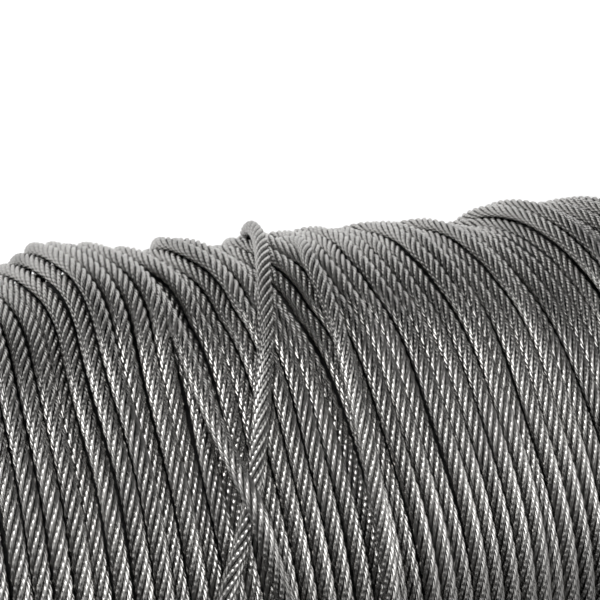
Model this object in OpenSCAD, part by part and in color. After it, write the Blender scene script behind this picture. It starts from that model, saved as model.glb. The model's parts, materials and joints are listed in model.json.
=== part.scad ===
// Coil of stainless steel cable: one length of cable wound in layers round an
// open bore, with no drum, flange or tie. The coil stands on its end, because it
// would roll on its round side. The origin is on the ground, on the coil's axis.
//
// A wound coil is one turned solid. Each turn of the outer layer is a round
// ridge on the outside, and each layer is a round ridge on both ends.

/* [Cable] */
// Diameter of the cable
cable_d = 4; // [2:0.5:8]

/* [Coil] */
// Turns that lie side by side in a layer, from one end of the coil to the other
turns_per_layer = 50; // [10:1:70]
// Layers of turns between the bore and the outside
layers = 11; // [3:1:16]
// Radial distance from one layer to the next, as a share of the cable's diameter
layer_nest = 0.9; // [0.87:0.01:0.98]
// Diameter of the bore that the innermost turns leave open
bore_d = 80; // [40:5:200]
// How much further a ridge's radius reaches than half of its turn, so that
// neighbouring ridges cross in a valley instead of only touching
ridge_swell = 0.08; // [0.05:0.01:0.12]

/* [Hidden] */

// Facets of the turned surfaces, and of a ridge's section
$fn = 180;
ridge_facets = 48;

// One turn of cable, as a ridge of the solid
turn_r = cable_d / 2;
ridge_r = turn_r + ridge_swell;

// The layers, from the bore outwards
bore_r = bore_d / 2;
layer_step = cable_d * layer_nest;
first_layer_r = bore_r + turn_r;
last_layer_r = first_layer_r + (layers - 1) * layer_step;
coil_r = last_layer_r + ridge_r;

// The turns, from the lower end of the coil to the upper one
coil_h = (turns_per_layer - 1) * cable_d + 2 * ridge_r;
low_turn_z = ridge_r;
high_turn_z = coil_h - ridge_r;

// One turn's section, at its radius and its height
module turn_section(radius, height) {
    translate([radius, height])
        circle(r = ridge_r, $fn = ridge_facets);
}

// Half of the coil's section: a block that fills the inside of the coil, the
// outer turns along one side of it, and a turn of each layer at both ends
module coil_section() {
    translate([bore_r - ridge_swell, low_turn_z])
        square([last_layer_r - bore_r + ridge_swell, high_turn_z - low_turn_z]);

    for (turn = [0 : turns_per_layer - 1])
        turn_section(last_layer_r, low_turn_z + turn * cable_d);

    for (layer = [0 : layers - 2], height = [low_turn_z, high_turn_z])
        turn_section(first_layer_r + layer * layer_step, height);
}

// The wound cable, with its bore cut right through
module cable_coil() {
    color([0.62, 0.61, 0.58])
    difference() {
        rotate_extrude()
            coil_section();
        translate([0, 0, -cable_d])
            cylinder(r = bore_r, h = coil_h + 2 * cable_d);
    }
}

cable_coil();
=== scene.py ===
# %% [markdown]
# # A coil of stainless steel cable
#
# Bare cable is sold wound on itself: turn beside turn, layer over layer, round an open
# bore. Everything that the eye sees is one cable, so this lesson makes a short straight
# piece of that cable well, and then spends its effort on how it is laid.
#
# The frame comes first. It is the plain turned solid that fixes the real size of the coil,
# and every size below is read from it or is a size of the cable itself.

# %% Load the frame
import json
import math

import bmesh
import bpy
import numpy as np
from mathutils import Matrix, Vector


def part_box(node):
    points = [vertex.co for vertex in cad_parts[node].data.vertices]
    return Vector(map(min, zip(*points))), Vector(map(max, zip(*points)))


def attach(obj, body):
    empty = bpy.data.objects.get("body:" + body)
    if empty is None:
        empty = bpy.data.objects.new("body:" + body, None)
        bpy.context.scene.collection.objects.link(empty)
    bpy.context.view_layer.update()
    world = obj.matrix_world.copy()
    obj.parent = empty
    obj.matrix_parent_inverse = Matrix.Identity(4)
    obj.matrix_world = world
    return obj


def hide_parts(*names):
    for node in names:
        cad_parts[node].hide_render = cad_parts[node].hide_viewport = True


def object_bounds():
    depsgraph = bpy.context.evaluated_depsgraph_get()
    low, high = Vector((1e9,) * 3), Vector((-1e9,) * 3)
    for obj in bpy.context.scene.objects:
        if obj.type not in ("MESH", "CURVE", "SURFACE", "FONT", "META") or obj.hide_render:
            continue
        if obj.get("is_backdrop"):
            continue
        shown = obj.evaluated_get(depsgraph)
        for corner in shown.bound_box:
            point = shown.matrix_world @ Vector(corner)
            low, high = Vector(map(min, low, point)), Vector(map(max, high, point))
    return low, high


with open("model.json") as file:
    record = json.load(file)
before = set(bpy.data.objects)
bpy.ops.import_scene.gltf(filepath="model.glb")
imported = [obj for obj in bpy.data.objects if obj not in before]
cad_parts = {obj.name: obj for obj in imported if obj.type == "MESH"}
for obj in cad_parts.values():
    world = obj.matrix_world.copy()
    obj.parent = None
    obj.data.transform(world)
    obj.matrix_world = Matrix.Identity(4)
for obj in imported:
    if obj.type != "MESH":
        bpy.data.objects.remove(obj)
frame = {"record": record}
frame_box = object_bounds()

NODE = "cable_coil"
low, high = (np.array(corner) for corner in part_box(NODE))
coil_r = (high[0] - low[0]) / 2
coil_h = high[2] - low[2]
middle_z = (high[2] + low[2]) / 2
bore_r = frame["record"]["mounts"][0]["dims"]["r_mm"] / 1000
print(f"coil {coil_h * 1000:.1f} mm high and {coil_r * 2000:.1f} across, bore {bore_r * 2000:.1f}")

# %% [markdown]
# ## The cable's own sizes
#
# Flexible stainless cable is six strands closed round a core, and each strand is a bundle
# of fine wires. The strands run to the right, the wires in them run back to the left, so
# the wires on the outside end up almost in line with the cable. One full turn of a strand
# round the cable is called a lay, and it is between five and six diameters long.

# %% Sizes of the cable
CABLE_D = 0.004
STRANDS = 6
STRAND_TURN = 2 * math.pi / STRANDS
STRAND_R = CABLE_D / 6
STRAND_OUT = CABLE_D / 3
LAY = 5.45 * CABLE_D
print(f"cable {CABLE_D * 1000:.1f} mm, lay {LAY * 1000:.1f} mm, so a metre has {1 / LAY:.0f} lays")

# %% [markdown]
# ## One lay of cable
#
# The outline of a stranded cable is six round lobes with deep valleys between them. A
# ring of edges takes that outline, and one spin that also moves along the axis screws it
# into a full lay: the columns of faces then follow the strands, which keeps every valley
# crisp with very few faces. The valley edges are marked sharp, so the light breaks there.
#
# The map that the finish needs is made here too. Across, it holds the angle round the
# strand itself. Along, it counts lays, so one number is one turn of the strands.

# %% Outline of the strands
def strand_angle(angle):
    """How far an angle round the cable lies from the crown of the nearest strand."""
    return (angle + STRAND_TURN / 2) % STRAND_TURN - STRAND_TURN / 2


def outline_r(angle):
    """Distance from the cable's middle to its surface, where the nearest crown is angle away."""
    inside = STRAND_R**2 - (STRAND_OUT * math.sin(angle)) ** 2
    return STRAND_OUT * math.cos(angle) + math.sqrt(max(inside, 0))


crown_r, valley_r = outline_r(0), outline_r(STRAND_TURN / 2)
print(f"surface {crown_r * 1000:.2f} mm out on a crown, {valley_r * 1000:.2f} mm in a valley")


# %% One lay
def one_lay(points_per_strand, rings):
    """One lay of straight cable along +X, as a bmesh with its map."""
    bm = bmesh.new()
    bmesh.ops.create_circle(bm, radius=1, segments=STRANDS * points_per_strand)
    bmesh.ops.rotate(bm, verts=bm.verts, matrix=Matrix.Rotation(math.pi / 2, 3, "Y"))
    for vert in bm.verts:
        vert.co *= outline_r(strand_angle(math.atan2(vert.co.z, vert.co.y)))
    step = Vector((LAY / rings, 0, 0))
    bmesh.ops.spin(
        bm, geom=bm.verts[:] + bm.edges[:], axis=(1, 0, 0), dvec=step, angle=2 * math.pi, steps=rings
    )
    bmesh.ops.recalc_face_normals(bm, faces=bm.faces)
    map_lay(bm)
    return bm


# %% Map of the lay
def map_lay(bm):
    """Marks the valleys sharp, and maps each face by its strand and its place along the lay."""
    lay_map = bm.loops.layers.uv.new("lay")

    def twist(point):
        return math.atan2(point.z, point.y) - 2 * math.pi * point.x / LAY

    for face in bm.faces:
        face.smooth = True
        middle = twist(face.calc_center_median())
        crown = middle - strand_angle(middle)
        for loop in face.loops:
            point = loop.vert.co
            away = (twist(point) - crown + math.pi) % (2 * math.pi) - math.pi
            across = outline_r(away) * math.sin(away)
            inward = outline_r(away) * math.cos(away) - STRAND_OUT
            loop[lay_map].uv = (point.x / LAY, math.atan2(across, inward) / (2 * math.pi))
    for edge in bm.edges:
        ends = [abs(strand_angle(twist(vert.co))) for vert in edge.verts]
        edge.smooth = min(ends) < STRAND_TURN / 2 - 0.01


sample = one_lay(points_per_strand=4, rings=12)
sharp = sum(not edge.smooth for edge in sample.edges)
print(f"one lay: {len(sample.faces)} faces, {sharp} sharp edges in {STRANDS} valleys")
sample.free()

# %% [markdown]
# ## A straight length of cable
#
# An Array modifier repeats the lay and welds the joints, which is far quicker than
# spinning a long length. Its offset_u moves the map on by one lay each time. The two open
# ends are then filled, with a sharp rim, so that the cut face doesn't bend the light on
# the strands beside it.

# %% Objects from meshes
def new_object(name, bm):
    """An object in the scene, made from a bmesh, which is used up."""
    mesh = bpy.data.meshes.new(name)
    bm.to_mesh(mesh)
    bm.free()
    thing = bpy.data.objects.new(name, mesh)
    bpy.context.collection.objects.link(thing)
    return thing


def close_ends(mesh):
    """Fills the two open ends of a cable, with a sharp rim."""
    bm = bmesh.new()
    bm.from_mesh(mesh)
    rims = [edge for edge in bm.edges if edge.is_boundary]
    for edge in rims:
        edge.smooth = False
    bmesh.ops.holes_fill(bm, edges=rims)
    bm.to_mesh(mesh)
    bm.free()


# %% Straight cable
def straight_cable(name, lays, points_per_strand=4, rings=12):
    """A closed straight cable along +X, a whole number of lays long."""
    piece = new_object(name, one_lay(points_per_strand, rings))
    single = piece.data
    repeat = piece.modifiers.new("lays", "ARRAY")
    repeat.count = lays
    repeat.use_relative_offset = False
    repeat.use_constant_offset = True
    repeat.constant_offset_displace = (LAY, 0, 0)
    repeat.use_merge_vertices = True
    repeat.merge_threshold = CABLE_D / 100
    repeat.offset_u = 1
    ready = piece.evaluated_get(bpy.context.evaluated_depsgraph_get())
    piece.data = bpy.data.meshes.new_from_object(ready)
    piece.modifiers.clear()
    bpy.data.meshes.remove(single)
    piece.data.name = name
    close_ends(piece.data)
    return piece


# %% [markdown]
# ## A route round the coil
#
# The straight cable is bent onto a route, as a Curve modifier would do it, but with the
# way out of the coil given by hand: each point keeps its place in the section, and takes
# the route's position and directions at its own distance along it. The strands turn
# evenly all the way, as they do on the real thing.

# %% Routes
class Route:
    """A path round the coil: at each step a point, the way out of the coil, and the distance along.

    turn counts the turns from the front, and down is the distance below the coil's middle.
    """

    def __init__(self, turn, down, radius):
        angle = 2 * math.pi * turn
        outward = np.stack([np.sin(angle), -np.cos(angle), np.zeros_like(angle)], axis=1)
        self.point = outward * radius[:, None]
        self.point[:, 2] = middle_z - down
        ahead = np.gradient(self.point, axis=0)
        ahead /= np.linalg.norm(ahead, axis=1)[:, None]
        outward -= ahead * np.sum(outward * ahead, axis=1)[:, None]
        self.outward = outward / np.linalg.norm(outward, axis=1)[:, None]
        self.aside = np.cross(self.outward, ahead)
        steps = np.linalg.norm(np.diff(self.point, axis=0), axis=1)
        self.along = np.concatenate([[0], np.cumsum(steps)])
        self.length = self.along[-1]
        self.lays = int(self.length / LAY)

    def at(self, distance, values):
        """The route's points or directions at these distances along it."""
        return np.stack([np.interp(distance, self.along, column) for column in values.T], axis=1)

    def carry(self, piece, start=0.0):
        """Lays a straight cable on the route, its first end at the distance start."""
        count = len(piece.data.vertices)
        flat = np.empty(count * 3)
        piece.data.vertices.foreach_get("co", flat)
        straight = flat.reshape(count, 3)
        distance = straight[:, 0] + start
        laid = self.at(distance, self.point)
        laid += self.at(distance, self.aside) * straight[:, 1:2]
        laid += self.at(distance, self.outward) * straight[:, 2:3]
        piece.data.vertices.foreach_set("co", laid.ravel())
        piece.data.update()
        return piece


share = np.linspace(0, 1, 240)
once_round = Route(share, 0 * share, 0 * share + coil_r - CABLE_D / 2)
print(f"one outer turn takes {once_round.length * 1000:.0f} mm of cable, or {once_round.lays} lays")

# %% [markdown]
# ## Sums on sockets
#
# A finish is a web of nodes, which can be linked one by one. A pattern is easier to read as
# a formula, so the class Sock holds a node's output, and turns each operator into the Math
# node that does it. Every node, of any kind, comes from the one helper add_node.

# %% Shader maths
class Sock:
    """A node's output, with arithmetic."""

    def __init__(self, tree, socket):
        self.tree = tree
        self.socket = socket

    def output(self, name):
        """Another output of the same node."""
        return Sock(self.tree, self.socket.node.outputs[name])

    def maths(self, operation, *values, **settings):
        """A Math node's output, from these values."""
        settings["operation"] = operation
        return add_node(self.tree, "ShaderNodeMath", settings, slots=dict(enumerate(values)))

    def __add__(self, other):
        return self.maths("ADD", self, other)

    def __sub__(self, other):
        return self.maths("SUBTRACT", self, other)

    def __rsub__(self, other):
        return self.maths("SUBTRACT", other, self)

    def __mul__(self, other):
        return self.maths("MULTIPLY", self, other)

    def __pow__(self, other):
        return self.maths("POWER", self, other)

    def __abs__(self):
        return self.maths("ABSOLUTE", self)

    def sine(self):
        """Its sine, of an angle in radians."""
        return self.maths("SINE", self)

    def clamp(self):
        """Its value, held between nought and one."""
        return self.maths("ADD", self, 0.0, use_clamp=True)

    __radd__ = __add__
    __rmul__ = __mul__


# %% Nodes
def connect(tree, slot, value):
    """Puts a value or a Sock into an input."""
    if isinstance(value, Sock):
        tree.links.new(value.socket, slot)
    else:
        slot.default_value = value


def add_node(tree, kind, settings=None, slots=None, output=0, **values):
    """Adds a node, sets it up, fills its inputs by number or by name and returns one output."""
    node = tree.nodes.new(kind)
    for key, setting in (settings or {}).items():
        setattr(node, key, setting)
    for key, value in {**(slots or {}), **values}.items():
        connect(tree, node.inputs[key], value)
    return Sock(tree, node.outputs[output])


def new_material(name):
    """An empty material: returns it with its tree and its shader node."""
    material = bpy.data.materials.new(name)
    material.use_nodes = True
    tree = material.node_tree
    return material, tree, tree.nodes["Principled BSDF"]


def blend(tree, share, first, second):
    """A colour between two others."""
    return add_node(
        tree, "ShaderNodeMix", {"data_type": "RGBA"}, slots={0: share, 6: first, 7: second}, output=2
    )


# %% [markdown]
# ## The finish: drawn stainless wire
#
# Each wire is a tiny bright rod, so the finish is metal all over. The wires could be cut
# into the mesh, but at a few faces for each wire the coil would take fifty million. A bump
# does it: it runs along the wires. The colour darkens in the grooves between them and in
# the valleys between the strands, as painted shade where the wires hide each other from
# the light. Both follow the map of the lay: the wires count round the strand and along the
# lay at once, which sets them at their angle. Softer patches of tone, long across the
# turns, are partly marks of handling and partly painted shade.

# %% Drawn wire
STEEL = (0.50, 0.49, 0.475, 1)
STEEL_DARK = (0.03, 0.03, 0.03, 1)
WIRES_ROUND_STRAND = 9
WIRES_PER_LAY = 24
WIRE_RELIEF = 0.00006
TURN_TONE = (22, 22, 240)
# The next two darken the colour in wire grooves and strand valleys: painted shade.
GROOVE_PAINTED_SHADE = 0.3
VALLEY_PAINTED_SHADE = 0.8
BLOTCH_DARK = 0.25
# The next one darkens random patches along the turns: partly handling marks, partly painted shade.
STAIN_AND_SHADE_DARK = 0.28


def drawn_wire(name):
    """Bright drawn wire, laid in strands, on the map of the lay."""
    material, tree, shader = new_material(name)
    lay_map = add_node(tree, "ShaderNodeUVMap", {"uv_map": "lay"})
    along = add_node(tree, "ShaderNodeSeparateXYZ", Vector=lay_map)
    round_strand = along.output("Y")
    place = add_node(tree, "ShaderNodeTexCoord", output="Object")

    count = round_strand * (math.pi * WIRES_ROUND_STRAND) + along * (math.pi * WIRES_PER_LAY)
    wire = abs(count.sine())
    groove = 1 - wire
    valley = ((abs(round_strand) * 3 - 0.35) * 1.6).clamp()
    blotch = add_node(tree, "ShaderNodeTexNoise", Vector=place, Scale=60, Detail=3)
    # Random darker patches along the turns: partly marks of handling, partly painted shade.
    along_turn = add_node(tree, "ShaderNodeMapping", Vector=place, Scale=TURN_TONE)
    tone = add_node(tree, "ShaderNodeTexNoise", Vector=along_turn, Scale=1, Detail=1)
    stain_and_shade = ((tone - 0.45) * 4).clamp()
    # Painted shade: darker colour in the grooves between wires and the valleys between strands.
    painted_hollow_shade = (groove**3) * GROOVE_PAINTED_SHADE + (valley**1.5) * VALLEY_PAINTED_SHADE
    shade = painted_hollow_shade + (blotch - 0.5) * BLOTCH_DARK + stain_and_shade * STAIN_AND_SHADE_DARK

    shader.inputs["Metallic"].default_value = 1
    connect(tree, shader.inputs["Base Color"], blend(tree, shade.clamp(), STEEL, STEEL_DARK))
    connect(tree, shader.inputs["Roughness"], blotch * 0.16 + 0.18)
    bump = add_node(tree, "ShaderNodeBump", Height=wire**0.6, Distance=WIRE_RELIEF, Strength=1.0)
    connect(tree, shader.inputs["Normal"], bump)
    return material


wire_finish = drawn_wire("drawn_stainless_wire")
print(f"{wire_finish.name}: {len(wire_finish.node_tree.nodes)} nodes")


# %% [markdown]
# Every piece stands for the same plain solid of the frame, and moves with it.

# %% Finish a piece
def finish_piece(piece, material=wire_finish):
    """Gives a piece its finish, and says that it is part of the coil."""
    piece.data.materials.clear()
    piece.data.materials.append(material)
    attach(piece, "root")
    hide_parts(NODE)
    triangles = sum(len(face.vertices) - 2 for face in piece.data.polygons)
    print(f"{piece.name}: {triangles} triangles")
    return piece


# %% [markdown]
# ## How the outer layer lies
#
# Cable wound by hand never lies evenly. Some turns sink between their neighbours, some
# ride high, and here and there the layer opens and shows the dark layer below. Fifty turns
# are too many to place one by one, and a simulation of so much cable would take hours.
#
# The layer is one long winding, so one number says where we are on it: the turns wound so
# far. Each place has a height. The turn before has its own height there, and two round
# cables that touch are then a known distance apart. Adding those distances turn after turn
# gives the place along the coil, and nothing overlaps.

# %% Curves
STEPS = 240
rng = np.random.default_rng(4)


def ease(value):
    """Nought below nought, one above one, and a smooth step between."""
    share = np.clip(value, 0, 1)
    return share * share * (3 - 2 * share)


def wander(turns, reach):
    """A smooth random curve, with a spread of one, that keeps its value over about reach turns."""
    window = np.hanning(max(3, int(2 * reach * STEPS)))
    noise = rng.standard_normal(int(turns * STEPS) + 1 + len(window) - 1)
    return np.convolve(noise, window, mode="valid") / math.sqrt(np.sum(window**2))


print(f"{STEPS} places on each turn, {2 * math.pi * coil_r / STEPS * 1000:.1f} mm apart")

# %% The winding
OUTER_TURNS = 50
START = 240

turn = np.arange(OUTER_TURNS * STEPS + 1) / STEPS
degrees = (START + 360 * turn) % 360
room = coil_h / CABLE_D - 1
pitch = room / (OUTER_TURNS - 1)


def winding(down, degrees):
    """The turns wound at a place: the nearest turn to it, at that angle."""
    return round((down + room / 2) / pitch) + (degrees - START) % 360 / 360


print(f"{OUTER_TURNS} turns, {pitch * CABLE_D * 1000:.3f} mm apart, begun at {START} degrees")

# %% [markdown]
# ### Chosen heights
#
# The side of the coil that shows is worth the work of choosing. CREST_HEIGHTS says how far
# each turn stands out along the coil's +X side, which is the skyline in the camera's view.
# SUNK and GAPS name single places, as a distance below the middle and an angle round from
# the front: a turn sinks there by some amount, or leaves a gap before it, and a bell curve
# with a reach in degrees fades that out along the turn. All amounts are in cable diameters.

# %% Chosen heights
CREST_FROM = -18
CREST_HEIGHTS = (
    0.0, -0.3, 0.0, 0.6, 1.3, 1.4, 1.0, 1.25, -0.4, -0.3, 0.5,
    -0.3, 0.05, 0.75, 0.65, 0.1, -0.45, -0.3, 0.05, 0.25, 0.15, 0.1,
    0.2, 0.1, -0.1, -0.5, -0.05, 0.1, -0.45, -0.8, -0.1, -0.5, -0.75,
    -0.9, -1.1, -0.85, 0.25, 0.6, 0.1, -0.25, 0.0, -0.35, 0.1, 0.0,
)
SUNK = (
    (-17.4, 50, 0.5, 40), (-13.9, 45, 0.55, 30), (-11.2, 45, 0.5, 25), (-9.8, 55, 0.45, 35),
    (-9.0, 50, 0.6, 32), (-8.0, 55, 0.6, 25), (-3.0, 50, 0.5, 30), (-1.9, 75, 0.5, 18),
    (-0.7, 45, 0.5, 30), (2.8, 40, 0.3, 20), (9.0, 45, 0.5, 30), (12.2, 60, 0.4, 25),
)
GAPS = (
    (-13.6, 62, 0.15, 25), (-10.6, 50, 0.15, 13), (-1.8, 72, 0.2, 25), (3.1, 40, 0.1, 25),
    (6.1, 75, 0.1, 25), (9.9, 70, 0.15, 25), (14.5, 72, 0.2, 20),
)


def singled_out(places):
    """Depth or gap along the winding that these places ask for."""
    asked = np.zeros_like(turn)
    for down, at, amount, reach in places:
        away = (turn - winding(down, at)) * 360 / reach
        asked += amount * np.exp(-(away**2))
    return asked


print(f"{len(SUNK)} places sink by up to {singled_out(SUNK).max():.2f} of a diameter")

# %% [markdown]
# ### Three turns that have slipped
#
# A few turns slip when a coil is handled. Here one has come loose: it slants over its
# neighbours and hooks back into the coil behind the crest. One crosses over it, and one
# slants over its neighbours a little further down.
#
# Each one comes out between two turns, lies on the layer for a while, and goes back in. A
# path that somebody's hand made has no formula, so SLIPPED holds a few chosen points for
# each: an angle, and a distance below the middle. RIDES says how high they lie at an angle:
# TOP is on top of the layer, and UNDER is out of sight below it. DIVES holds the two ends:
# the angle, the reach of the dive in degrees, and the place of the gap.

# %% Paths of the slipped turns
TOP = 0.95
UNDER = -0.92
SLIPPED = {
    "loose_turn": (
        (-40, -15.2), (-8, -14.6), (5, -13.7), (15, -12.5), (26, -11.1), (29, -10.4), (34, -9.5),
        (44, -8.15), (52, -7.15), (61, -5.9), (69, -4.95), (78, -3.8), (88, -2.4), (94, -1.65),
        (100, -1.15), (106, -0.85), (112, -0.55), (120, -0.35),
    ),
    "crossing_turn": (
        (-50, -5.6), (-20, -6.0), (0, -6.7), (10, -7.4), (22, -8.4), (28, -8.9), (34, -9.15),
        (40, -9.6), (47, -10.0), (58, -10.3), (75, -10.4), (180, -10.5),
    ),
    "slanting_turn": (
        (-60, -2.6), (20, -2.3), (35, -2.2), (46, -1.95), (54, -1.7), (60, -1.45), (68, -1.15),
        (80, -0.5), (95, 0.7), (110, 1.2), (140, 1.4),
    ),
}
RIDES = {
    "loose_turn": ((20, TOP), (34, 0.75), (48, TOP), (85, TOP), (98, 1.25)),
    "crossing_turn": ((18, TOP), (34, 1.75), (47, 0.85), (58, 0.5), (72, 0.55)),
    "slanting_turn": ((0, TOP),),
}
DIVES = {
    "loose_turn": ((-14, 26, -14.5), (109, 11, -0.5)),
    "crossing_turn": ((-26, 26, -6.5), (150, 26, -10.5)),
    "slanting_turn": ((-22, 26, -3.5), (98, 18, 0.5)),
}
for name, (first, last) in DIVES.items():
    print(f"{name}: out of the layer from {first[0]} to {last[0]} degrees round from the front")

# %% [markdown]
# The two turns beside a dive have to part for it. Three round cables that touch make a
# triangle, so the gap follows from how high the slipped turn is at that angle.

# %% Partings
def rise(share):
    """How high a slipped turn lies in a dive: from under the layer at -1 to on top of it at 1."""
    return UNDER + (TOP - UNDER) * ease((share + 1) / 2)


def parting(share):
    """How far two turns part to let a slipped turn through."""
    return np.maximum(2 * np.sqrt(1 - rise(share) ** 2) - 1, 0)


def partings():
    """The gaps along the winding for all the slipped turns."""
    asked = np.zeros_like(turn)
    for dives in DIVES.values():
        for (at, reach, gap), way in zip(dives, (1, -1)):
            asked += parting(way * (turn - 1 - winding(gap, at)) * 360 / reach)
    return asked


print(f"the turns part by up to {partings().max():.2f} of a diameter")

# %% [markdown]
# ### Adding it up
#
# The crest's heights fade in and out round its side. A SPAN gives the angle where that
# begins, the degrees that it takes to rise, the angle where it ends and the degrees that it
# takes to fall. Away from the side that shows, which runs from SHOWN_FROM past the front to
# SHOWN_TO, the layer sinks at random instead. The whole layer has settled a little, and a
# small random height and looseness keeps any two turns from being the same. The first and
# last turns lie level, for a flat end.

# %% Heights and gaps
CREST_SPAN = (40, 45, 130, 22)
SHOWN_FROM, SHOWN_TO, SHOWN_FADE = 335, 145, 25
RANDOM_SINK = 0.75
SINK_ABOVE, SINK_OVER = 0.5, 1.3
RANDOM_HEIGHT = 0.08
SETTLED = 0.1
RANDOM_GAP = 0.07


def span(begin, rising, end, falling):
    """One along part of every turn, and nought along the rest of it."""
    return ease((degrees - begin) / rising) * ease((end - degrees) / falling)


nominal = turn * pitch - room / 2
skyline = np.interp(nominal, CREST_FROM + np.arange(len(CREST_HEIGHTS)), CREST_HEIGHTS)
shown = np.maximum(ease((SHOWN_TO - degrees) / SHOWN_FADE), ease((degrees - SHOWN_FROM) / SHOWN_FADE))
sinking = ease((wander(OUTER_TURNS, reach=0.3) - SINK_ABOVE) / SINK_OVER)
random_sink = RANDOM_SINK * sinking * (1 - shown)
random_height = RANDOM_HEIGHT * np.clip(wander(OUTER_TURNS, reach=0.22), -1.5, 1.5) - SETTLED
level = ease(turn) * ease(OUTER_TURNS - 1 - turn)
lift = (skyline * span(*CREST_SPAN) - random_sink - singled_out(SUNK) + random_height) * level
random_gap = RANDOM_GAP * np.clip(wander(OUTER_TURNS, reach=0.25), 0, 2)
opening = singled_out(GAPS) + partings() + random_gap
print(f"heights from {lift.min():+.2f} to {lift.max():+.2f} of a diameter")

# %% [markdown]
# ### A crowded end
#
# Behind the crest the first few turns are crowded: more of them lie there than fit side by
# side, so every second one rises and the next one sinks. One wave of heights does it, which
# is at its top where HIGH_AT turns are wound, and again every second turn. Turns of
# different heights need less room side by side, so all the turns after the crowd lean
# towards that end as they pass over the crest.

# %% The crowd
CROWD_SPAN = (50, 58, 200, 60)
CROWD_HEIGHT = 0.4
CROWDED_TURNS = 5
HIGH_AT = 0.6

crowd = span(*CROWD_SPAN) * (ease(turn) * ease(CROWDED_TURNS + 1 - turn))
zigzag = CROWD_HEIGHT * np.cos(math.pi * (turn - HIGH_AT)) * crowd
print(f"the crowd goes up and down by {zigzag.max():.2f} of a diameter")

# %% [markdown]
# ### Laying the turns side by side
#
# The first turn goes straight round, and in the last part of it, CROSSING, it crosses over
# to make room for the second. Every later turn takes its place from the one before it, and
# a turn that rises over its neighbour rests on it at STEEPEST. The layer comes out a little
# shorter or longer than the coil from angle to angle, so what is spare is shared out.
#
# The winding is laid once without the crowd and once with it. The difference at its last
# turn tells how far the crowd pulls the turns along, and the slipped turns need it later.

# %% Places along the coil
CROSSING = 0.16
STEEPEST = 0.95


def lay_side_by_side(lift, opening):
    """Places along the coil, in cable diameters, of a winding with these heights and gaps."""
    step_up = lift[STEPS:] - lift[:-STEPS]
    reach = np.sqrt(1 - np.clip(step_up, -STEEPEST, STEEPEST) ** 2) + opening[STEPS:]
    along = np.zeros_like(lift)
    along[: STEPS + 1] = reach[0] * ease((turn[: STEPS + 1] - 1 + CROSSING) / CROSSING)
    for first in range(STEPS, len(lift), STEPS):
        last = min(first + STEPS, len(lift) - 1)
        before = slice(first - STEPS, last + 1 - STEPS)
        along[first : last + 1] = along[before] + reach[before]
    return along


uncrowded_last_turn = lay_side_by_side(lift, opening)[-STEPS - 1 :]
lift += zigzag
laid = lay_side_by_side(lift, opening)
last_turn = laid[-STEPS - 1 :]
pulled = uncrowded_last_turn - last_turn
whole = last_turn[: -int(CROSSING * STEPS)]
print(f"the layer takes {whole.min():.1f} to {whole.max():.1f} diameters of the {room:.1f} there are")
spare = room + laid[: STEPS + 1] - last_turn
laid += np.append(np.tile(spare[:-1], OUTER_TURNS), spare[-1]) * turn / (OUTER_TURNS - 1)
down = (laid - room / 2) * CABLE_D
print(f"the crowd pulls the turns along by up to {pulled.max():.2f} of a diameter")

# %% [markdown]
# ## The outer layer
#
# The cable comes up out of the layer below at the coil's upper end, winds down to the lower
# end, and stops there: that is the coil's free end. One route holds all of it, with one
# turn of entry before it. As one mesh it would be too heavy to handle, so it is made as
# eight pieces, each a whole number of lays long, and they meet where one lay ends.

# %% Layer sizes
LAYERS = 11
LAYER_STEP = 0.9 * CABLE_D
CLIMB = 0.16
layer_r = bore_r + CABLE_D / 2 + LAYER_STEP * np.arange(LAYERS)
outer_r = coil_r - CABLE_D / 2


def nested(layer):
    """How far inside the coil's end a layer's last turn lies: every other layer fits between turns."""
    return (0.5 if layer % 2 else 0.0) * CABLE_D


print(f"{LAYERS} layers, from {layer_r[0] * 1000:.1f} to {outer_r * 1000:.1f} mm from the axis")

# %% Outer route
entry = np.arange(-STEPS, 0) / STEPS
below = 1 - ease((entry + CLIMB) / CLIMB)
diving = 1 - ease((entry + 1) / CLIMB)
wound = OUTER_TURNS * STEPS + 1 - int(CROSSING * STEPS)
outer_route = Route(
    START / 360 + np.concatenate([entry, turn[:wound]]),
    np.concatenate([down[0] + nested(1) * below + CABLE_D * diving, down[:wound]]),
    outer_r + np.concatenate([-LAYER_STEP * below, lift[:wound] * CABLE_D]),
)
print(f"outer layer: {outer_route.length:.1f} m of cable")

# %% Outer turns
OUTER_PIECES = 8
piece_lays = math.ceil(outer_route.lays / OUTER_PIECES)
for number in range(OUTER_PIECES):
    first = number * piece_lays
    piece = straight_cable(f"outer_turns_{number + 1}", min(piece_lays, outer_route.lays - first))
    outer_route.carry(piece, first * LAY)
    finish_piece(piece)

# %% [markdown]
# ## The slipped turns
#
# Each one is a piece of its own, on a route of its own. In a dive it keeps to the middle
# between the two turns that part for it, and once it is out it follows its chosen points,
# smoothed because cable has no corners. The crowd pulls it along as far as the winding
# under it, which is less the further down it lies. Both ends stop out of sight.

# %% Routes of the slipped turns
FINE = 0.5
SMOOTHED_OVER = 25


def between(dive, degrees):
    """The middle between the two turns that part at a dive, in cable diameters below the middle."""
    at, _, gap = dive
    wound = winding(gap, at) + (degrees - at) / 360
    return (np.interp(wound, turn, down) + np.interp(wound + 1, turn, down)) / (2 * CABLE_D)


def smooth(points, degrees):
    """A smooth curve near the chosen points, at each of these angles."""
    soft = np.hanning(SMOOTHED_OVER) / np.sum(np.hanning(SMOOTHED_OVER))
    margin = FINE * (SMOOTHED_OVER // 2)
    spread = np.arange(degrees[0] - margin, degrees[-1] + margin + FINE / 2, FINE)
    return np.convolve(np.interp(spread, *zip(*points)), soft, mode="valid")[: len(degrees)]


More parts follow.
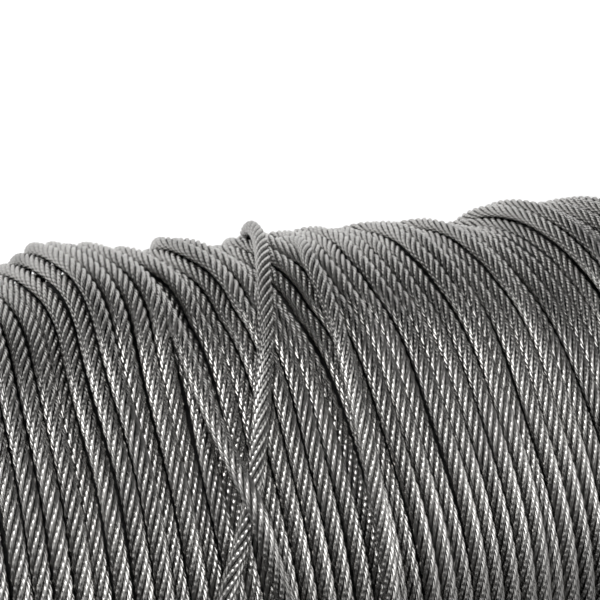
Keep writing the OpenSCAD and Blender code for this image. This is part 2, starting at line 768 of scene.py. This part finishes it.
def slipped_route(name):
    """A turn that comes out between two others, crosses its neighbours and goes back in."""
    first, last = DIVES[name]
    one_more_lay = math.degrees(LAY / outer_r)
    degrees = np.arange(first[0] - first[1], last[0] + last[1] + one_more_lay, FINE)
    out_first = (degrees - first[0]) / first[1]
    out_last = (last[0] - degrees) / last[1]
    height = smooth(RIDES[name], degrees) - TOP + np.minimum(rise(out_first), rise(out_last))
    place = smooth(SLIPPED[name], degrees)
    pull = np.interp((degrees - START) % 360, 360 * turn[: STEPS + 1], pulled)
    place -= pull * (0.5 - place / room)
    for dive, out in ((first, ease(out_first)), (last, ease(out_last))):
        place = between(dive, degrees) * (1 - out) + place * out
    return Route(degrees / 360, place * CABLE_D, outer_r + height * CABLE_D)


# %% Slipped turns
for name in SLIPPED:
    slipped = slipped_route(name)
    finish_piece(slipped.carry(straight_cable(name, slipped.lays)))

# %% [markdown]
# ## The ends of the coil
#
# At each end of the coil the winding climbs from one layer to the next and turns back, so
# an end shows pairs of rings: one comes up out of its layer, goes round, climbs, goes round
# again and disappears. Only these last turns of the inner layers can be seen, so only they
# are made, with a quarter turn of tail at each end that fills the gap beside the climb.
# They are seen from further off, so their strands have fewer faces.
#
# The climbs lie close together, with a little chance in them, because each layer begins
# where the last one ends. DIVE_BEFORE is how early the second ring starts to go back down:
# that many climbs before it has gone round, to be out of the way where the first one climbs.

# %% One pair of end turns
TAIL = 0.25
DIVE_BEFORE = 1.6
WOBBLE = 0.05 * CABLE_D


def end_pair(layer, side, start):
    """Two rings of cable at an end of the coil: they come up, climb one layer and go back down."""
    turn = np.arange(-TAIL * STEPS, (2 + TAIL) * STEPS + 1) / STEPS
    climb = ease((turn - 1 + CLIMB) / CLIMB)
    radius = layer_r[layer] + LAYER_STEP * climb
    inside = nested(layer) * (1 - climb) + nested(layer + 1) * climb
    dive = (1 - ease(turn / CLIMB)) + ease((turn - 2 + DIVE_BEFORE * CLIMB) / CLIMB)
    ends = coil_h / 2 - CABLE_D / 2 - inside - CABLE_D * dive
    wobble = WOBBLE * wander(2 + 2 * TAIL, reach=0.2)[: len(turn)]
    return Route(start + turn, side * (ends + np.minimum(wobble, 0)), radius + wobble)


# %% End turns
CLIMBS_AT, CLIMBS_SPREAD = 0.45, 0.03


def join(name, pieces):
    """Joins pieces into the first one, and renames it."""
    with bpy.context.temp_override(active_object=pieces[0], selected_editable_objects=pieces):
        bpy.ops.object.join()
    pieces[0].name = name
    pieces[0].data.name = name
    return pieces[0]


def end_turns(name, side, first_layer):
    """All the pairs of one end, joined in one piece."""
    pairs = []
    for layer in range(first_layer, LAYERS - 2, 2):
        route = end_pair(layer, side, CLIMBS_AT + CLIMBS_SPREAD * rng.standard_normal())
        pair = straight_cable(f"{name}_{layer}", route.lays, points_per_strand=3)
        pairs.append(route.carry(pair))
    return join(name, pairs)


finish_piece(end_turns("upper_end_turns", side=-1, first_layer=1))
finish_piece(end_turns("lower_end_turns", side=1, first_layer=0))

# %% [markdown]
# ## The bore
#
# With no drum inside, the innermost layer shows as the wall of the bore. It was wound on a
# smooth former that has been pulled out, so it lies far more evenly than the outside does:
# one even route with a slight wobble is enough. Its strands have the fewest faces of all,
# because they lie deep in the coil and are only seen small.

# %% Bore turns
BORE_TURNS = 49
BORE_WOBBLE = 0.04 * CABLE_D
bore_turn = np.arange(0, BORE_TURNS * STEPS + 1) / STEPS
bore_down = -coil_h / 2 + CABLE_D / 2 + bore_turn * CABLE_D
bore_radius = layer_r[0] + BORE_WOBBLE * wander(BORE_TURNS, reach=0.2)[: len(bore_turn)]
bore_route = Route(bore_turn, bore_down, bore_radius)
bore_turns = straight_cable("bore_turns", bore_route.lays, points_per_strand=2, rings=8)
finish_piece(bore_route.carry(bore_turns))

# %% [markdown]
# ## What is between the layers
#
# The layers in between are hidden, apart from glimpses through the gaps. There the real
# coil shows dull wire in deep shade. One turned body does for all of it: an outline with a
# low ridge for each turn, spun once round the axis. Its finish is the steel without light.

# %% Shaded wire
SHADE = ((0.01, 0.01, 0.01, 1), (0.08, 0.08, 0.08, 1))


def shaded_wire(name):
    """The same wire deep in the coil, dull with oil and in the shade."""
    material, tree, shader = new_material(name)
    place = add_node(tree, "ShaderNodeTexCoord", output="Object")
    grain = add_node(tree, "ShaderNodeTexNoise", Vector=place, Scale=900, Detail=2)
    shader.inputs["Metallic"].default_value = 1
    shader.inputs["Roughness"].default_value = 0.6
    connect(tree, shader.inputs["Base Color"], blend(tree, grain, *SHADE))
    bump = add_node(tree, "ShaderNodeBump", Height=grain, Distance=0.0003, Strength=1.0)
    connect(tree, shader.inputs["Normal"], bump)
    return material


# %% Inner layers
RIDGE = ((0.25, 0.35), (0.5, 0.45), (0.75, 0.35), (1.0, 0.0))
CLEAR_OF_BORE = 0.6 * CABLE_D
CLEAR_OF_OUTSIDE = 1.9 * CABLE_D
CLEAR_OF_ENDS = 1.8 * CABLE_D


def inner_outline():
    """Half of the section of the inner layers, as points of radius and height."""
    inner = bore_r + CLEAR_OF_BORE
    outer = coil_r - CLEAR_OF_OUTSIDE
    bottom = low[2] + CLEAR_OF_ENDS
    top = high[2] - CLEAR_OF_ENDS
    ridges = int((top - bottom) / CABLE_D)
    outline = [(inner, bottom), (outer, bottom)]
    for ridge in range(ridges):
        for share, out in RIDGE:
            outline.append((outer + out * CABLE_D, bottom + (ridge + share) * (top - bottom) / ridges))
    return outline + [(inner, top)]


def inner_layers():
    """The layers under the outer one, as one closed turned body."""
    bm = bmesh.new()
    points = [bm.verts.new((radius, 0, height)) for radius, height in inner_outline()]
    for start, end in zip(points, points[1:] + points[:1]):
        bm.edges.new((start, end))
    bmesh.ops.spin(
        bm, geom=bm.verts[:] + bm.edges[:], axis=(0, 0, 1), angle=2 * math.pi, steps=96, use_merge=True
    )
    bmesh.ops.recalc_face_normals(bm, faces=bm.faces)
    for face in bm.faces:
        face.smooth = True
    return new_object("inner_layers", bm)


finish_piece(inner_layers(), shaded_wire("shaded_wire"))

# %% [markdown]
# ## The studio
#
# Bare steel has hardly any colour of its own: it shows what is around it. So the studio is
# what makes it look like steel. The floor and the world are white where the camera, or a
# reflection, sees them, and grey as light, which keeps the coil's own tone and its shadow.

# %% What sees the background
def background_rays(tree):
    """One for the rays that see the background: the camera's, and those off metal and through glass."""
    seen = add_node(tree, "ShaderNodeLightPath", output="Is Camera Ray")
    return (seen + seen.output("Is Glossy Ray") + seen.output("Is Transmission Ray")).clamp()


# %% Floor
FLOOR_WHITE = 0.6


def floor_finish(name):
    """Pale floor that takes the coil's shadow, with light of its own for the rays that see it."""
    material, tree, shader = new_material(name)
    shader.inputs["Base Color"].default_value = (0.9, 0.9, 0.9, 1)
    plain = add_node(tree, "ShaderNodeEmission", Color=(0, 0, 0, 1), Strength=0.0)
    white = add_node(tree, "ShaderNodeEmission", Color=(1, 1, 1, 1), Strength=FLOOR_WHITE)
    own = add_node(tree, "ShaderNodeMixShader", slots={0: background_rays(tree), 1: plain, 2: white})
    both = add_node(tree, "ShaderNodeAddShader", slots={0: Sock(tree, shader.outputs[0]), 1: own})
    connect(tree, tree.nodes["Material Output"].inputs["Surface"], both)
    return material


bm = bmesh.new()
bmesh.ops.create_grid(bm, x_segments=1, y_segments=1, size=6)
floor = new_object("floor", bm)
floor.data.materials.append(floor_finish("floor"))
floor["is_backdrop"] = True
print(f"floor {floor.dimensions.x:.0f} m wide")

# %% World
WORLD_LIGHT = (0.5, 0.5, 0.5, 1)
WORLD_SEEN = (1, 1, 1, 1)
world = bpy.data.worlds.new("studio")
bpy.context.scene.world = world
world.use_nodes = True
tree = world.node_tree
sky = tree.nodes["Background"]
connect(tree, sky.inputs["Color"], blend(tree, background_rays(tree), WORLD_LIGHT, WORLD_SEEN))
print(f"world: grey {WORLD_LIGHT[0]} as light, white where it is seen")

# %% [markdown]
# ### Flags
#
# In an all-white studio steel looks like plaster. So dark cards, called flags, stand round
# a metal object, and it has something dark to reflect beside the light. Two of them leave
# an open wedge where the lamp stands. They fade out at their edges, or the steel would show
# a hard line there, and only reflections see them. Along the floor each has a tone of its
# own, and changes to the wall's tone between one and six centimetres up.

# %% Flag finish
FLAG_FADE = 16


def flag_finish(name, span_from, span_to, floor_grey, wall_grey):
    """Matt grey, of one tone on the floor and another on the wall, that fades at both edges."""
    material, tree, shader = new_material(name)
    place = add_node(tree, "ShaderNodeTexCoord", output="Object")
    height = add_node(tree, "ShaderNodeSeparateXYZ", output="Z", Vector=place)
    on_wall = (height * 20 - 0.2).clamp()
    tones = ((grey, grey, grey, 1) for grey in (floor_grey, wall_grey))
    connect(tree, shader.inputs["Base Color"], blend(tree, on_wall, *tones))
    shader.inputs["Roughness"].default_value = 1
    radial = {"gradient_type": "RADIAL"}
    turned = add_node(tree, "ShaderNodeTexGradient", radial, output="Fac", Vector=place)
    degrees = turned * 360 - 90
    past_first = ((degrees - span_from) * (1 / FLAG_FADE)).clamp()
    before_last = ((span_to - degrees) * (1 / FLAG_FADE)).clamp()
    connect(tree, shader.inputs["Alpha"], past_first * before_last)
    return material


# %% Flags
FLAG_R = 1.2
FLAG_H = 1.8
OFF_THE_FLOOR = 0.002
OFF_THE_COIL = 0.005


def flag(name, span_from, span_to, floor_grey, wall_grey):
    """A dark screen round part of the studio, floor and wall, that only the metal sees."""
    bm = bmesh.new()
    near, far = ((0, -radius, OFF_THE_FLOOR) for radius in (coil_r + OFF_THE_COIL, FLAG_R))
    corners = [bm.verts.new(corner) for corner in (near, far, (0, -FLAG_R, FLAG_H))]
    edges = [bm.edges.new(pair) for pair in zip(corners, corners[1:])]
    bmesh.ops.rotate(bm, verts=corners, matrix=Matrix.Rotation(math.radians(span_from), 3, "Z"))
    sweep = math.radians(span_to - span_from)
    bmesh.ops.spin(bm, geom=corners + edges, axis=(0, 0, 1), angle=sweep, steps=16)
    screen = new_object(name, bm)
    screen.data.materials.append(flag_finish(name, span_from, span_to, floor_grey, wall_grey))
    screen.visible_camera = False
    screen.visible_diffuse = False
    screen.visible_shadow = False
    screen.visible_transmission = False
    screen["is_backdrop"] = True
    print(f"{name}: {FLAG_H} m high, {FLAG_R} m off, from {span_from} to {span_to} degrees round")


flag("flag_left", -88, 36, floor_grey=0.6, wall_grey=0.1)
flag("flag_right", 55, 121, floor_grey=0.15, wall_grey=0.015)

# %% [markdown]
# ### The lamp
#
# One soft lamp stands in the open wedge between the flags. It is tall, because every turn
# is a small round mirror that lies across it: a tall lamp lights the crown of each turn
# and some of both its flanks, where a square one would leave a thin line of light.

# %% Lamp
def around(degrees, distance, height):
    """A place round the coil: degrees from the front, distance from the axis."""
    angle = math.radians(degrees)
    return Vector((distance * math.sin(angle), -distance * math.cos(angle), height))


def soft_light(name, place, width, height, power):
    """A rectangular lamp that faces the coil."""
    lamp = bpy.data.lights.new(name, "AREA")
    lamp.shape = "RECTANGLE"
    lamp.size = width
    lamp.size_y = height
    lamp.energy = power
    light = bpy.data.objects.new(name, lamp)
    light.location = place
    light.rotation_euler = (Vector((0, 0, middle_z)) - place).to_track_quat("-Z", "Y").to_euler()
    light.visible_camera = False
    bpy.context.collection.objects.link(light)
    print(f"{name}: {width} by {height} m, {power} W, {place.length:.2f} m from the foot of the axis")


soft_light("key", around(54, 0.75, middle_z + 0.22), width=0.26, height=0.56, power=2.2)

# %% [markdown]
# ## The camera
#
# The camera is close, and turned on its side: the coil's axis runs across the picture, so
# the turns stand up in it. The turned view is easiest to write for a coil that lies down,
# as one turn and one tilt, and a last quarter turn then stands both up together.

# %% Camera
VIEW_ROUND = 32.25
DISTANCE = 86.6 * CABLE_D
ABOVE_MIDDLE = 29 * CABLE_D
LOOK_ASIDE = -21.66
LOOK_DOWN = 20.77
camera_data = bpy.data.cameras.new("camera")
camera_data.lens = 78
camera_data.sensor_width = 36
camera = bpy.data.objects.new("camera", camera_data)
bpy.context.collection.objects.link(camera)
bpy.context.scene.camera = camera
tilt = Matrix.Rotation(math.radians(90 - LOOK_DOWN), 4, "X")
lying = Matrix.Rotation(math.radians(LOOK_ASIDE), 4, "Z") @ tilt
standing = Matrix.Rotation(math.pi / 2, 4, "Y") @ lying
place = around(VIEW_ROUND, DISTANCE, middle_z + ABOVE_MIDDLE)
camera.matrix_world = Matrix.Translation(place) @ standing
bpy.context.scene.view_settings.view_transform = "Standard"
print(f"camera {DISTANCE * 1000:.0f} mm from the axis, {VIEW_ROUND} degrees round from the front")

# %% [markdown]
# ## Handing over
# The last cell prints the two boxes side by side, the plain solid's and the finished
# coil's, so that their sizes can be compared.

# %% Finish
boxes = {"cad": frame_box, "visual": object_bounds()}
for name, box in boxes.items():
    print(f"{name}:", " by ".join(f"{1000 * (top - bottom):.1f}" for bottom, top in zip(*box)), "mm")
